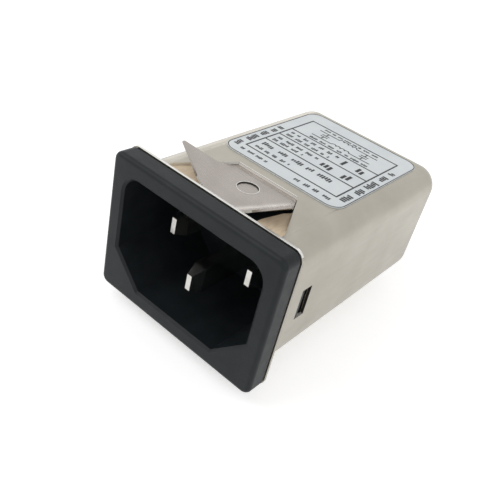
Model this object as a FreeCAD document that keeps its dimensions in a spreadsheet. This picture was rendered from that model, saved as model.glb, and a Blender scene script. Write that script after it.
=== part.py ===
import FreeCAD, Part
import math
import os
import Sketcher

# Snap-in power inlet with a built-in mains filter.
# X runs along the long side of the front frame, Y runs back into the panel, Z is up.
# The origin is the centre of the plane where the metal flange seats on the panel.
# All lengths are in millimetres.

doc = FreeCAD.newDocument("power_entry_module")
sheet = doc.addObject("Spreadsheet::Sheet", "sizes")

SIZES = [
    # front frame and socket
    ("bezel_width", 29.5),
    ("bezel_height", 22.2),
    ("bezel_thickness", 3.15),
    ("bezel_corner", 1.3),
    ("bezel_front_round", 0.7),
    ("bezel_back_chamfer", 0.25),
    ("cavity_width", 24.5),
    ("cavity_height", 16.85),
    ("cavity_bevel", 5.0),
    ("cavity_corner", 2.6),
    ("cavity_depth", 15.7),
    ("cavity_lead_in", 0.35),
    ("floor_thickness", 1.6),
    # metal can
    ("can_width", 27.5),
    ("can_height", 19.5),
    ("can_depth", 41.5),
    ("can_wall", 0.4),
    ("can_edge_radius", 3.5),
    ("can_rear_radius", 3.4),
    ("flange_width", 29.7),
    ("flange_height", 22.4),
    ("flange_corner", 1.4),
    ("slide_fit", 0.02),
    # latch
    ("slot_front", 4.6),
    ("slot_length", 2.1),
    ("slot_height", 5.0),
    ("latch_gap", 0.1),
    ("latch_rise", 0.65),
    ("latch_land", 0.5),
    # snap springs
    ("window_front", 2.75),
    ("window_back", 11.5),
    ("window_front_width", 19.8),
    ("window_back_width", 10.8),
    ("window_corner", 0.6),
    ("spring_thickness", 0.3),
    ("spring_strip_width", 8.4),
    ("spring_front", 0.8),
    ("spring_back", 13.4),
    ("spring_bend_radius", 2.2),
    ("wing_angle", 46.0),
    ("wing_length", 5.8),
    ("wing_front", 3.05),
    ("wing_back", 11.25),
    ("wing_tip_width", 0.3),
    ("dimple_width", 3.1),
    ("dimple_place", 8.0),
    ("dimple_depth", 0.22),
    ("dimple_gap", 0.1),
    # contact pins
    ("pin_spacing", 14.0),
    ("pin_drop", 4.0),
    ("pin_row_height", 1.35),
    ("pin_thickness", 2.0),
    ("pin_width", 4.0),
    ("pin_tip_thickness", 0.8),
    ("pin_tip_width", 2.5),
    ("pin_tip_length", 2.0),
    ("line_tip_depth", 5.3),
    ("earth_tip_depth", 2.1),
    ("pin_tail_thickness", 0.8),
    ("pin_tail_width", 2.6),
    ("pin_tail_length", 3.2),
    ("pin_shoulder", 0.4),
    # filter board and its rails
    ("board_top", -5.6),
    ("board_thickness", 1.2),
    ("board_width", 25.0),
    ("board_front", 17.2),
    ("board_back", 39.6),
    ("board_corner", 1.5),
    ("board_fit", 0.05),
    ("rail_inner", 9.6),
    ("rail_width", 2.0),
    ("rail_thickness", 1.2),
    ("rail_overlap", 1.8),
    ("hole_gap", 0.1),
    ("solder_stand", 0.8),
    # leads
    ("lead_radius", 0.6),
    ("lead_bend", 1.5),
    ("lead_place", 18.4),
    ("lead_front", 14.9),
    # earth strap and rivet
    ("strap_width", 4.0),
    ("strap_thickness", 0.5),
    ("strap_front", 16.0),
    ("strap_top", -0.6),
    ("strap_back_top", -2.4),
    ("strap_bend", 0.6),
    ("rivet_height", -4.65),
    ("rivet_radius", 0.9),
    ("rivet_head_radius", 1.4),
    ("rivet_head_height", 0.7),
    # choke
    ("choke_place", 32.3),
    ("core_outer", 13.0),
    ("core_inner", 7.0),
    ("core_height", 7.0),
    ("core_round", 0.6),
    ("winding_thickness", 0.85),
    ("winding_gap", 0.05),
    ("winding_angle", 124.0),
    ("choke_base_thickness", 1.0),
    ("divider_thickness", 1.0),
    ("divider_gap", 0.15),
    # capacitors and resistor
    ("x_cap_width", 18.0),
    ("x_cap_depth", 5.0),
    ("x_cap_height", 11.0),
    ("x_cap_front", 19.6),
    ("x_cap_round", 0.5),
    ("x_cap_leg_spacing", 15.0),
    ("leg_radius", 0.3),
    ("y_cap_side", 10.9),
    ("y_cap_place", 29.0),
    ("y_cap_radius", 3.5),
    ("y_cap_thickness", 2.8),
    ("y_cap_round", 0.9),
    ("y_cap_stand", 0.8),
    ("y_cap_leg_spacing", 5.0),
    ("resistor_place", 36.0),
    ("resistor_radius", 1.1),
    ("resistor_length", 3.6),
    ("resistor_leg_spacing", 6.0),
    ("resistor_stand", 2.0),
    ("resistor_bend", 0.7),
    # rear terminals
    ("block_width", 19.6),
    ("block_height", 6.6),
    ("block_thickness", 1.5),
    ("boss_width", 18.2),
    ("boss_height", 4.8),
    ("boss_stand", 0.6),
    ("boss_corner", 0.8),
    ("boss_gap", 0.1),
    ("tab_spacing", 11.0),
    ("tab_height", 2.6),
    ("tab_width", 6.3),
    ("tab_thickness", 0.8),
    ("tab_length", 7.6),
    ("tab_tip_chamfer", 1.2),
    ("tab_hole_radius", 0.8),
    ("tab_hole_inset", 3.2),
    ("tab_fit", 0.05),
    ("tab_leg_width", 2.4),
    ("tab_leg_back", 39.2),
    ("tab_bend", 0.4),
    ("earth_blade_height", -2.1),
    ("earth_foot_bottom", -6.3),
    # card liners
    ("liner_thickness", 0.2),
    ("liner_front", 0.9),
    ("liner_back", 37.8),
    ("liner_return_edge", 7.6),
    ("liner_notch_gap", 0.3),
    # rating label
    ("label_width", 21.2),
    ("label_front", 13.45),
    ("label_back", 37.9),
    ("label_corner", 2.2),
    ("label_thickness", 0.12),
]

for row, (name, number) in enumerate(SIZES, start=1):
    sheet.set("A%d" % row, name)
    sheet.set("B%d" % row, repr(number))
    sheet.setAlias("B%d" % row, name)
doc.recompute()


def size(text):
    """Expression text in which every size is read from the sheet."""
    names = sorted((name for name, number in SIZES), key=len, reverse=True)
    words = []
    word = ""
    for letter in text + " ":
        if letter.isalnum() or letter == "_":
            word += letter
            continue
        words.append("sizes." + word if word in names else word)
        words.append(letter)
        word = ""
    return "".join(words).strip()


def number_of(text):
    """Present value of an expression, as a plain number."""
    return float(sheet.evalExpression(size(text)))


# Faces and half sizes that several pieces share

BEZEL_BACK = "-can_wall"
BEZEL_FACE = "(-can_wall - bezel_thickness)"
CAN_INSIDE_X = "(can_width / 2 - can_wall)"
CAN_INSIDE_Z = "(can_height / 2 - can_wall)"
CAN_INSIDE_REAR = "(can_depth - can_wall)"
SHROUD_GAP = "(spring_thickness + slide_fit)"
SHROUD_X = "(can_width / 2 - can_wall - spring_thickness - slide_fit)"
SHROUD_Z = "(can_height / 2 - can_wall - spring_thickness - slide_fit)"
CAVITY_FLOOR = "(cavity_depth - can_wall - bezel_thickness)"
SHROUD_END = "(cavity_depth + floor_thickness - can_wall - bezel_thickness)"
BOARD_BOTTOM = "(board_top - board_thickness)"
SOLDER_END = "(board_top - board_thickness - solder_stand)"
EARTH_ROW = "(pin_row_height - pin_drop)"


def new_body(label):
    body = doc.addObject("PartDesign::Body", label)
    body.Label = label
    return body


def plane_of(body, role):
    for feature in body.Origin.OriginFeatures:
        if feature.Role == role:
            return feature
    raise ValueError("no plane " + role)


def sketch_on(body, name, role, offset):
    """Sketch on one of the body's own planes, moved along that plane's normal."""
    sketch = body.newObject("Sketcher::SketchObject", name)
    sketch.AttachmentSupport = [(plane_of(body, role), "")]
    sketch.MapMode = "FlatFace"
    sketch.setExpression(".AttachmentOffset.Base.z", size(offset))
    return sketch


def sketch_at_y(body, name, place):
    """Sketch facing along Y: its own axes are X and Z."""
    return sketch_on(body, name, "XZ_Plane", "-(" + place + ")")


def sketch_at_z(body, name, place):
    """Sketch facing up: its own axes are X and Y."""
    return sketch_on(body, name, "XY_Plane", place)


def sketch_at_x(body, name, place):
    """Sketch facing sideways: its own axes are Y and Z."""
    return sketch_on(body, name, "YZ_Plane", place)


def bind(sketch, kind, element, vertex, text):
    """Hold one coordinate of a sketch vertex at an expression."""
    index = sketch.addConstraint(Sketcher.Constraint(kind, -1, 1, element, vertex, number_of(text)))
    sketch.setExpression("Constraints[%d]" % index, size(text))


def arc_between(start, end, radius):
    """Arc that turns left on its way from start to end."""
    chord = end - start
    left = FreeCAD.Vector(-chord.y, chord.x, 0).normalize()
    rise = math.sqrt(max(radius ** 2 - (chord.Length / 2) ** 2, 0))
    centre = (start + end) / 2 + left * rise
    angles = [math.atan2(point.y - centre.y, point.x - centre.x) for point in (start, end)]
    return Part.ArcOfCircle(Part.Circle(centre, FreeCAD.Vector(0, 0, 1), radius), *angles)


def outline(sketch, points):
    """Closed outline whose corners are held at expressions.

    A point is (across, up), or (across, up, radius) where an arc leads on to the next point.
    """
    places = [FreeCAD.Vector(number_of(point[0]), number_of(point[1]), 0) for point in points]
    first = sketch.GeometryCount
    count = len(points)
    for i, point in enumerate(points):
        start, end = places[i], places[(i + 1) % count]
        if len(point) == 3:
            sketch.addGeometry(arc_between(start, end, number_of(point[2])), False)
        else:
            sketch.addGeometry(Part.LineSegment(start, end), False)
    for i in range(count):
        following = first + (i + 1) % count
        sketch.addConstraint(Sketcher.Constraint("Coincident", first + i, 2, following, 1))
    for i, point in enumerate(points):
        bind(sketch, "DistanceX", first + i, 1, point[0])
        bind(sketch, "DistanceY", first + i, 1, point[1])
        if len(point) == 3:
            index = sketch.addConstraint(Sketcher.Constraint("Radius", first + i, number_of(point[2])))
            sketch.setExpression("Constraints[%d]" % index, size(point[2]))
    return sketch


def box_points(low_across, high_across, low_up, high_up):
    return [
        (low_across, low_up),
        (high_across, low_up),
        (high_across, high_up),
        (low_across, high_up),
    ]


def centred_points(width, height):
    half_width = "(" + width + ") / 2"
    half_height = "(" + height + ") / 2"
    return box_points("-" + half_width, half_width, "-" + half_height, half_height)


def rounded_points(half_across, half_up, radius):
    """Rectangle about the middle with quarter arcs at its corners."""
    flat_across = "(" + half_across + " - (" + radius + "))"
    flat_up = "(" + half_up + " - (" + radius + "))"
    return [
        (half_across, "-" + flat_up),
        (half_across, flat_up, radius),
        (flat_across, half_up),
        ("-" + flat_across, half_up, radius),
        ("-" + half_across, flat_up),
        ("-" + half_across, "-" + flat_up, radius),
        ("-" + flat_across, "-" + half_up),
        (flat_across, "-" + half_up, radius),
    ]


def circle(sketch, across, up, radius):
    centre = FreeCAD.Vector(number_of(across), number_of(up), 0)
    element = sketch.addGeometry(Part.Circle(centre, FreeCAD.Vector(0, 0, 1), number_of(radius)), False)
    bind(sketch, "DistanceX", element, 3, across)
    bind(sketch, "DistanceY", element, 3, up)
    index = sketch.addConstraint(Sketcher.Constraint("Radius", element, number_of(radius)))
    sketch.setExpression("Constraints[%d]" % index, size(radius))
    return sketch


def volume(body):
    doc.recompute()
    return body.Shape.Volume if body.Tip else 0.0


def extrude(body, kind, sketch, length, backward, both_ways):
    before = volume(body)
    feature = body.newObject(kind, sketch.Name + "_" + kind.split("::")[1].lower())
    feature.Profile = sketch
    feature.Reversed = backward
    feature.Midplane = both_ways
    feature.setExpression("Length", size(length))
    body.Tip = feature
    after = volume(body)
    grows = kind.endswith("Pad")
    if (after > before) != grows:
        raise ValueError(feature.Name + " changed nothing or the wrong way")
    return feature


def pad_y(body, name, points, start, end):
    """Solid between two places along Y, from an outline in X and Z."""
    sketch = outline(sketch_at_y(body, name, start), points)
    return extrude(body, "PartDesign::Pad", sketch, "(" + end + ") - (" + start + ")", True, False)


def cut_y(body, name, points, start, end):
    sketch = outline(sketch_at_y(body, name, start), points)
    return extrude(body, "PartDesign::Pocket", sketch, "(" + end + ") - (" + start + ")", False, False)


def pad_z(body, name, points, start, end):
    """Solid between two heights, from an outline in X and Y."""
    sketch = outline(sketch_at_z(body, name, start), points)
    return extrude(body, "PartDesign::Pad", sketch, "(" + end + ") - (" + start + ")", False, False)


def cut_z(body, name, points, start, end):
    sketch = outline(sketch_at_z(body, name, start), points)
    return extrude(body, "PartDesign::Pocket", sketch, "(" + end + ") - (" + start + ")", True, False)


def pad_x(body, name, points, start, end):
    """Solid between two places along X, from an outline in Y and Z."""
    sketch = outline(sketch_at_x(body, name, start), points)
    return extrude(body, "PartDesign::Pad", sketch, "(" + end + ") - (" + start + ")", False, False)


def cut_x(body, name, points, start, end):
    sketch = outline(sketch_at_x(body, name, start), points)
    return extrude(body, "PartDesign::Pocket", sketch, "(" + end + ") - (" + start + ")", True, False)


def ends(edge):
    return [vertex.Point for vertex in edge.Vertexes]


def runs_along(edge, axis):
    """True for a straight edge parallel to one axis."""
    points = ends(edge)
    if len(points) != 2 or not isinstance(edge.Curve, Part.Line):
        return False
    run = points[1] - points[0]
    return all(abs(run[other]) < 1e-4 for other in range(3) if other != axis)


def lies_at(edge, axis, text):
    """True for an edge that stays at one coordinate."""
    place = number_of(text)
    box = edge.BoundBox
    low = (box.XMin, box.YMin, box.ZMin)[axis]
    high = (box.XMax, box.YMax, box.ZMax)[axis]
    return abs(low - place) < 2e-3 and abs(high - place) < 2e-3


def round_edges(body, kind, name, amount, wanted):
    """Fillet or chamfer on the edges of the present tip that pass the test."""
    doc.recompute()
    base = body.Tip
    found = ["Edge%d" % (i + 1) for i, edge in enumerate(base.Shape.Edges) if wanted(edge)]
    if not found:
        raise ValueError(name + " finds no edge")
    feature = body.newObject("PartDesign::" + kind, name)
    feature.Base = (base, found)
    feature.setExpression("Radius" if kind == "Fillet" else "Size", size(amount))
    body.Tip = feature
    doc.recompute()
    return feature


def fillet(body, name, radius, wanted):
    return round_edges(body, "Fillet", name, radius, wanted)


def chamfer(body, name, amount, wanted):
    return round_edges(body, "Chamfer", name, amount, wanted)


def corner_test(axis, across_axis, across, up_axis, up):
    """Edges along one axis at the corners (+-across, +-up) of the other two."""
    def wanted(edge):
        if not runs_along(edge, axis):
            return False
        point = ends(edge)[0]
        near_across = abs(abs(point[across_axis]) - number_of(across)) < 1e-3
        near_up = abs(abs(point[up_axis]) - number_of(up)) < 1e-3
        return near_across and near_up
    return wanted


def on_ring(text, half_width, half_height):
    """Edges in the plane y = text that lie on the outline of the given half sizes."""
    def wanted(edge):
        if not lies_at(edge, 1, text):
            return False
        box = edge.BoundBox
        reach_x = max(abs(box.XMin), abs(box.XMax))
        reach_z = max(abs(box.ZMin), abs(box.ZMax))
        at_side = abs(reach_x - number_of(half_width)) < 1e-3
        at_top = abs(reach_z - number_of(half_height)) < 1e-3
        return at_side or at_top
    return wanted


def place(body, x="0", y="0", z="0"):
    body.setExpression(".Placement.Base.x", size(x))
    body.setExpression(".Placement.Base.y", size(y))
    body.setExpression(".Placement.Base.z", size(z))
    doc.recompute()


def pin_slot_points(x, z):
    half_x = "pin_thickness / 2"
    half_z = "pin_width / 2"
    return box_points(x + " - " + half_x, x + " + " + half_x, z + " - " + half_z, z + " + " + half_z)


def inlet_housing():
    """Black moulding: front frame, socket shroud, latch lugs and board rails."""
    body = new_body("inlet_housing")
    pad_y(body, "frame_outline", centred_points("bezel_width", "bezel_height"), BEZEL_FACE, BEZEL_BACK)
    fillet(body, "frame_corners", "bezel_corner",
           corner_test(1, 0, "bezel_width / 2", 2, "bezel_height / 2"))
    fillet(body, "frame_front_edge", "bezel_front_round",
           on_ring(BEZEL_FACE, "bezel_width / 2", "bezel_height / 2"))
    chamfer(body, "frame_back_edge", "bezel_back_chamfer",
            on_ring(BEZEL_BACK, "bezel_width / 2", "bezel_height / 2"))

    shroud = rounded_points(SHROUD_X, SHROUD_Z, "(can_edge_radius - can_wall - " + SHROUD_GAP + ")")
    pad_y(body, "shroud_outline", shroud, BEZEL_BACK, SHROUD_END)

    for name, z_low, z_high in (
        ("lower_rails", BOARD_BOTTOM + " - board_fit - rail_thickness", BOARD_BOTTOM + " - board_fit"),
        ("upper_rails", "board_top + board_fit", "board_top + board_fit + rail_thickness"),
    ):
        for side_name, sign in (("left", "-"), ("right", "")):
            inner = sign + "rail_inner"
            outer = sign + "(rail_inner + rail_width)"
            rail = box_points(inner, outer, z_low, z_high)
            pad_y(body, side_name + "_" + name, rail, SHROUD_END, "board_front + rail_overlap")

    side = "cavity_width / 2"
    top = "cavity_height / 2"
    cavity = [
        ("-" + side + " + cavity_bevel", "-" + top),
        (side + " - cavity_bevel", "-" + top),
        (side, "-" + top + " + cavity_bevel"),
        (side, top + " - cavity_corner", "cavity_corner"),
        (side + " - cavity_corner", top),
        ("-" + side + " + cavity_corner", top, "cavity_corner"),
        ("-" + side, top + " - cavity_corner"),
        ("-" + side, "-" + top + " + cavity_bevel"),
    ]
    cut_y(body, "socket_cavity", cavity, BEZEL_FACE, CAVITY_FLOOR)

    def cavity_mouth(edge):
        box = edge.BoundBox
        inside = max(abs(box.XMin), abs(box.XMax)) < number_of(side + " + bezel_front_round")
        return lies_at(edge, 1, BEZEL_FACE) and inside and on_cavity(edge)

    def on_cavity(edge):
        return edge.CenterOfMass.z < number_of(top) + 1e-3 and edge.CenterOfMass.z > -number_of(top) - 1e-3

    chamfer(body, "cavity_mouth", "cavity_lead_in", cavity_mouth)

    for label, x, z in PINS:
        cut_y(body, label + "_slot", pin_slot_points(x, z), CAVITY_FLOOR, SHROUD_END)

    for name, sign in (("left_lug", -1), ("right_lug", 1)):
        turn = "-" if sign < 0 else ""
        front = "slot_front + latch_gap"
        back = "slot_front + slot_length - latch_gap"
        # the lug starts a little inside the shroud wall so that the two join
        lug = [
            (turn + "(" + SHROUD_X + " - latch_gap)", front),
            (turn + "(" + SHROUD_X + " + latch_rise)", front),
            (turn + "(" + SHROUD_X + " + latch_rise)", front + " + latch_land"),
            (turn + "(" + SHROUD_X + " - latch_gap)", back),
        ]
        half = "(slot_height / 2 - latch_gap)"
        pad_z(body, name, lug, "-" + half, half)

    # blind recesses that take the pressed-down dimples of the springs
    for name, turn in (("top_recess", 1), ("bottom_recess", -1)):
        depth = "(dimple_depth + dimple_gap)"
        start = SHROUD_Z + " - " + depth if turn > 0 else "-" + SHROUD_Z
        sketch = circle(sketch_at_z(body, name, start), "0", "dimple_place", "dimple_width / 2 + dimple_gap")
        extrude(body, "PartDesign::Pocket", sketch, depth, True, False)
    return body


PINS = (
    ("line_pin", "-pin_spacing / 2", "pin_row_height"),
    ("neutral_pin", "pin_spacing / 2", "pin_row_height"),
    ("earth_pin", "0", EARTH_ROW),
)


def cup(body, inset, start_inset):
    """Rounded block closed by a rounded rear end, smaller all round by the inset."""
    half_x = "(can_width / 2 - " + inset + ")"
    half_z = "(can_height / 2 - " + inset + ")"
    rear = "(can_depth - " + inset + ")"
    pad_y(body, body.Label + "_block", box_points("-" + half_x, half_x, "-" + half_z, half_z),
          "-(" + start_inset + ")", rear)
    fillet(body, body.Label + "_long_edges", "can_edge_radius - " + inset,
           corner_test(1, 0, half_x, 2, half_z))
    fillet(body, body.Label + "_rear_edges", "can_rear_radius - " + inset,
           lambda edge: lies_at(edge, 1, rear))


def shield_can():
    """Deep-drawn cup with a flange, windows for the springs and slots for the latch."""
    body = new_body("shield_can")
    cup(body, "0", "0")
    flange = rounded_points("flange_width / 2", "flange_height / 2", "flange_corner")
    pad_y(body, "flange_outline", flange, "-can_wall", "0")
    hollow = new_body("can_hollow")
    cup(hollow, "can_wall", "2 * can_wall")
    inside = body.newObject("PartDesign::Boolean", "can_inside")
    inside.Type = "Cut"
    inside.setObjects([hollow])
    body.Tip = inside
    doc.recompute()

    window = [
        ("-window_front_width / 2", "window_front"),
        ("window_front_width / 2", "window_front"),
        ("window_back_width / 2", "window_back"),
        ("-window_back_width / 2", "window_back"),
    ]
    reach = "can_wall + spring_thickness"
    cut_z(body, "top_window", window, CAN_INSIDE_Z + " - spring_thickness", "can_height / 2 + " + reach)
    cut_z(body, "bottom_window", window, "-can_height / 2 - " + reach, "-" + CAN_INSIDE_Z)

    def window_corner(edge):
        if not runs_along(edge, 2):
            return False
        point = ends(edge)[0]
        inside_outline = abs(point.x) < number_of("window_front_width / 2 + can_wall")
        in_length = abs(point.y - number_of("(window_front + window_back) / 2")) < number_of("window_back")
        return inside_outline and in_length and abs(point.z) > number_of(CAN_INSIDE_Z) - 1e-3

    fillet(body, "window_corners", "window_corner", window_corner)

    slot = box_points("slot_front", "slot_front + slot_length", "-slot_height / 2", "slot_height / 2")
    cut_x(body, "left_slot", slot, "-can_width / 2 - can_wall", "-" + CAN_INSIDE_X + " + can_wall / 2")
    cut_x(body, "right_slot", slot, CAN_INSIDE_X + " - can_wall / 2", "can_width / 2 + can_wall")

    opening = box_points(
        "-boss_width / 2 - boss_gap",
        "boss_width / 2 + boss_gap",
        "tab_height - boss_height / 2 - boss_gap",
        "tab_height + boss_height / 2 + boss_gap",
    )
    cut_y(body, "terminal_opening", opening, CAN_INSIDE_REAR, "can_depth")

    def opening_corner(edge):
        return runs_along(edge, 1) and abs(abs(ends(edge)[0].x) - number_of("boss_width / 2 + boss_gap")) < 1e-3

    fillet(body, "opening_corners", "boss_corner", opening_corner)
    sketch = circle(sketch_at_y(body, "rivet_hole", CAN_INSIDE_REAR), "0", "rivet_height", "rivet_radius")
    extrude(body, "PartDesign::Pocket", sketch, "can_wall", False, False)
    return body


def snap_spring(label):
    """Stamped leaf with two wings bent up through the window, modelled for the top side."""
    body = new_body(label)
    strip = "spring_strip_width / 2"
    angle = "wing_angle * 1deg"
    half_angle = "wing_angle / 2 * 1deg"
    low = SHROUD_Z
    high = "(" + SHROUD_Z + " + spring_thickness)"
    # sharp corners of the bend on its outer and inner side
    outer_bend = "(" + strip + " + (spring_bend_radius + spring_thickness) * tan(" + half_angle + "))"
    inner_bend = "(" + outer_bend + " - spring_thickness * tan(" + half_angle + "))"
    tip_low_x = "(" + outer_bend + " + wing_length * cos(" + angle + "))"
    tip_low_z = "(" + low + " + wing_length * sin(" + angle + "))"
    tip_high_x = "(" + tip_low_x + " - spring_thickness * sin(" + angle + "))"
    tip_high_z = "(" + tip_low_z + " + spring_thickness * cos(" + angle + "))"
    profile = [
        ("-" + outer_bend, low),
        (outer_bend, low),
        (tip_low_x, tip_low_z),
        (tip_high_x, tip_high_z),
        (inner_bend, high),
        ("-" + inner_bend, high),
        ("-" + tip_high_x, tip_high_z),
        ("-" + tip_low_x, tip_low_z),
    ]
    pad_y(body, "bent_profile", profile, "spring_front", "spring_back")
    fillet(body, "outer_bends", "spring_bend_radius + spring_thickness",
           corner_test(1, 0, outer_bend, 2, low))
    fillet(body, "inner_bends", "spring_bend_radius",
           corner_test(1, 0, inner_bend, 2, high))

    far = "(" + tip_low_x + " + spring_thickness)"
    below = "(" + low + " - spring_thickness)"
    above = "(" + tip_high_z + " + spring_thickness)"
    for side, turn in (("left", "-"), ("right", "")):
        front_corner = [
            (turn + strip, "spring_front - spring_thickness"),
            (turn + far, "spring_front - spring_thickness"),
            (turn + far, "wing_front"),
            (turn + strip, "wing_front"),
        ]
        cut_z(body, side + "_front_corner", front_corner, below, above)
        back_corner = [
            (turn + strip, "wing_back"),
            (turn + tip_low_x, "wing_front + wing_tip_width"),
            (turn + far, "wing_front + wing_tip_width"),
            (turn + far, "spring_back + spring_thickness"),
            (turn + strip, "spring_back + spring_thickness"),
        ]
        cut_z(body, side + "_back_corner", back_corner, below, above)

    # half-sheared dimple that locates the leaf in the housing
    dimple = circle(sketch_at_z(body, "dimple", low + " - dimple_depth"),
                    "0", "dimple_place", "dimple_width / 2")
    extrude(body, "PartDesign::Pad", dimple, "dimple_depth", False, False)
    hollow = circle(sketch_at_z(body, "dimple_hollow", high + " - dimple_depth"),
                    "0", "dimple_place", "dimple_width / 2")
    extrude(body, "PartDesign::Pocket", hollow, "dimple_depth", True, False)
    return body


def contact_pin(label, x, z, tip_depth):
    """Flat blade with a bevelled tip and a narrow solder tail."""
    body = new_body(label)
    tip = "(" + BEZEL_FACE + " + " + tip_depth + ")"
    base = "(" + tip + " + pin_tip_length)"
    end = "(" + SHROUD_END + " + pin_shoulder)"
    pad_y(body, "blade", centred_points("pin_thickness", "pin_width"), base, end)
    wide = outline(sketch_at_y(body, "tip_base", base), centred_points("pin_thickness", "pin_width"))
    narrow = outline(sketch_at_y(body, "tip_end", tip), centred_points("pin_tip_thickness", "pin_tip_width"))
    loft = body.newObject("PartDesign::AdditiveLoft", "tip")
    loft.Profile = wide
    loft.Sections = [narrow]
    loft.Ruled = True
    body.Tip = loft
    doc.recompute()
    pad_y(body, "tail", centred_points("pin_tail_thickness", "pin_tail_width"), end, end + " + pin_tail_length")
    place(body, x, "0", z)
    return body


def pin_lead(label, turn):
    """Wire beside a pin's tail that bends down through the board."""
    body = new_body(label)
    top = number_of("pin_row_height")
    bottom = number_of(SOLDER_END)
    front = number_of("lead_front")
    down = number_of("lead_place")
    bend = number_of("lead_bend")
    route = sketch_at_x(body, "route", "0")
    middle = FreeCAD.Vector(down - bend, top - bend, 0)
    # the run along the tail, the bend and the run down to the board
    route.addGeometry(Part.LineSegment(FreeCAD.Vector(front, top, 0), FreeCAD.Vector(down - bend, top, 0)), False)
    arc = Part.ArcOfCircle(Part.Circle(middle, FreeCAD.Vector(0, 0, 1), bend), 0, math.pi / 2)
    route.addGeometry(arc, False)
    route.addGeometry(Part.LineSegment(FreeCAD.Vector(down, top - bend, 0), FreeCAD.Vector(down, bottom, 0)), False)
    route.addConstraint(Sketcher.Constraint("Tangent", 0, 2, 1, 2))
    route.addConstraint(Sketcher.Constraint("Tangent", 1, 1, 2, 1))
    route.addConstraint(Sketcher.Constraint("Horizontal", 0))
    route.addConstraint(Sketcher.Constraint("Vertical", 2))
    bind(route, "DistanceX", 0, 1, "lead_front")
    bind(route, "DistanceY", 0, 1, "pin_row_height")
    bind(route, "DistanceX", 2, 2, "lead_place")
    bind(route, "DistanceY", 2, 2, SOLDER_END)
    index = route.addConstraint(Sketcher.Constraint("Radius", 1, bend))
    route.setExpression("Constraints[%d]" % index, size("lead_bend"))
    profile = circle(sketch_at_y(body, "wire", "lead_front"), "0", "pin_row_height", "lead_radius")
    doc.recompute()
    pipe = body.newObject("PartDesign::AdditivePipe", "wire_pipe")
    pipe.Profile = profile
    pipe.Spine = (route, ["Edge1", "Edge2", "Edge3"])
    body.Tip = pipe
    place(body, turn + "(pin_spacing / 2 + pin_tail_thickness / 2 + lead_radius)", "0", "0")
    return body


def earth_strap():
    """Folded strip from the earth pin along the can's bottom and up its rear wall."""
    body = new_body("earth_strap")
    floor = "-" + CAN_INSIDE_Z
    front = "strap_front"
    rear = CAN_INSIDE_REAR
    inner_floor = "(" + floor + " + strap_thickness)"
    inner_rear = "(" + rear + " - strap_thickness)"
    inner_front = "(" + front + " + strap_thickness)"
    fold = [
        (front, floor),
        (rear, floor),
        (rear, "strap_back_top"),
        (inner_rear, "strap_back_top"),
        (inner_rear, inner_floor),
        (inner_front, inner_floor),
        (inner_front, "strap_top"),
        (front, "strap_top"),
    ]
    pad_x(body, "fold", fold, "-strap_width / 2", "strap_width / 2")

    def bend_edge(along, up):
        def wanted(edge):
            if not runs_along(edge, 0):
                return False
            point = ends(edge)[0]
            return abs(point.y - number_of(along)) < 1e-3 and abs(point.z - number_of(up)) < 1e-3
        return wanted

    fillet(body, "front_bend_outside", "strap_bend + strap_thickness", bend_edge(front, floor))
    fillet(body, "front_bend_inside", "strap_bend", bend_edge(inner_front, inner_floor))
    fillet(body, "rear_bend_inside", "can_rear_radius - can_wall + slide_fit - strap_thickness",
           bend_edge(inner_rear, inner_floor))
    fillet(body, "rear_bend_outside", "can_rear_radius - can_wall + slide_fit", bend_edge(rear, floor))
    tail = centred_points("pin_tail_thickness + 2 * slide_fit", "pin_tail_width + 2 * slide_fit")
    tail = [(across, EARTH_ROW + " + " + up) for across, up in tail]
    cut_y(body, "tail_slot", tail, front, inner_front)
    sketch = circle(sketch_at_y(body, "strap_rivet_hole", inner_rear), "0", "rivet_height", "rivet_radius")
    extrude(body, "PartDesign::Pocket", sketch, "strap_thickness", False, False)
    return body


def board_holes():
    """Round holes in the board: name, x, y and radius of each."""
    lead_x = "(pin_spacing / 2 + pin_tail_thickness / 2 + lead_radius)"
    leg = "leg_radius + hole_gap"
    holes = []
    for side, turn in (("left", "-"), ("right", "")):
        holes.append((side + "_lead_hole", turn + lead_x, "lead_place", "lead_radius + hole_gap"))
        holes.append((side + "_x_cap_hole", turn + "x_cap_leg_spacing / 2", "x_cap_front + x_cap_depth / 2", leg))
        for end, step in (("front", "-"), ("back", "+")):
            y = "y_cap_place " + step + " y_cap_leg_spacing / 2"
            holes.append((side + "_y_cap_hole_" + end, turn + "y_cap_side", y, leg))
    for end, step in (("front", "-"), ("back", "+")):
        y = "resistor_place " + step + " resistor_leg_spacing / 2"
        holes.append(("resistor_hole_" + end, "y_cap_side", y, leg))
    return holes


def filter_board():
    body = new_body("filter_board")
    plan = box_points("-board_width / 2", "board_width / 2", "board_front", "board_back")
    pad_z(body, "board_outline", plan, BOARD_BOTTOM, "board_top")

    def back_corner(edge):
        return runs_along(edge, 2) and abs(ends(edge)[0].y - number_of("board_back")) < 1e-3

    chamfer(body, "board_back_corners", "board_corner", back_corner)
    for name, x, y, radius in board_holes():
        sketch = circle(sketch_at_z(body, name, BOARD_BOTTOM), x, y, radius)
        extrude(body, "PartDesign::Pocket", sketch, "board_thickness", True, False)
    for side, turn in (("left", "-"), ("right", "")):
        middle = turn + "tab_spacing / 2"
        slot = box_points(
            middle + " - tab_leg_width / 2 - hole_gap",
            middle + " + tab_leg_width / 2 + hole_gap",
            "tab_leg_back - tab_thickness - hole_gap",
            "tab_leg_back + hole_gap",
        )
        cut_z(body, side + "_tab_hole", slot, BOARD_BOTTOM, "board_top")
    return body


WINDING_BOTTOM = "(board_top + choke_base_thickness)"
CORE_BOTTOM = "(board_top + choke_base_thickness + winding_thickness + winding_gap)"


def ring_section(sketch, inner, outer, bottom, top):
    return outline(sketch, box_points(inner, outer, bottom, top))


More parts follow.
